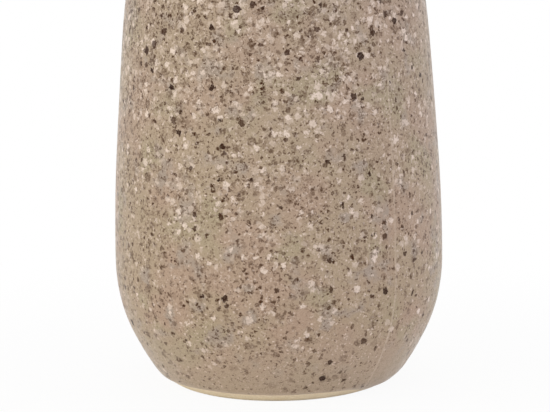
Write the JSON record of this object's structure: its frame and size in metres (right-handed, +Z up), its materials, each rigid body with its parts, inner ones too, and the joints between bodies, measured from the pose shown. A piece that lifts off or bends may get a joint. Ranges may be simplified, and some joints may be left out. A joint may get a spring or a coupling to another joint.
{
  "type": "bottle vase",
  "caption": "Slip-cast stoneware bottle vase: full low belly, long taper, round shoulder, narrow open neck with a turned-out lip, speckled glaze and a bare foot ring.",
  "frame": {"origin": "centre of the foot ring, on the plane that the vase stands on", "axes": "+Z up the vase's axis, from the foot to the mouth; the casting mould parts in the XZ plane, so the two seam lines run up the +X and the -X side"},
  "size_m": [0.1404, 0.14, 0.3],
  "materials": {
    "stoneware": "bare fired clay, matte",
    "speckled_glaze": "satin, taupe with dark, brown and cream speckles",
    "liner_glaze": "glossy, thin, over cream clay"
  },
  "bodies": {
    "root": {"clay_body": "stoneware", "outer_glaze": "speckled_glaze", "liner_glaze": "liner_glaze"}
  },
  "joints": []
}
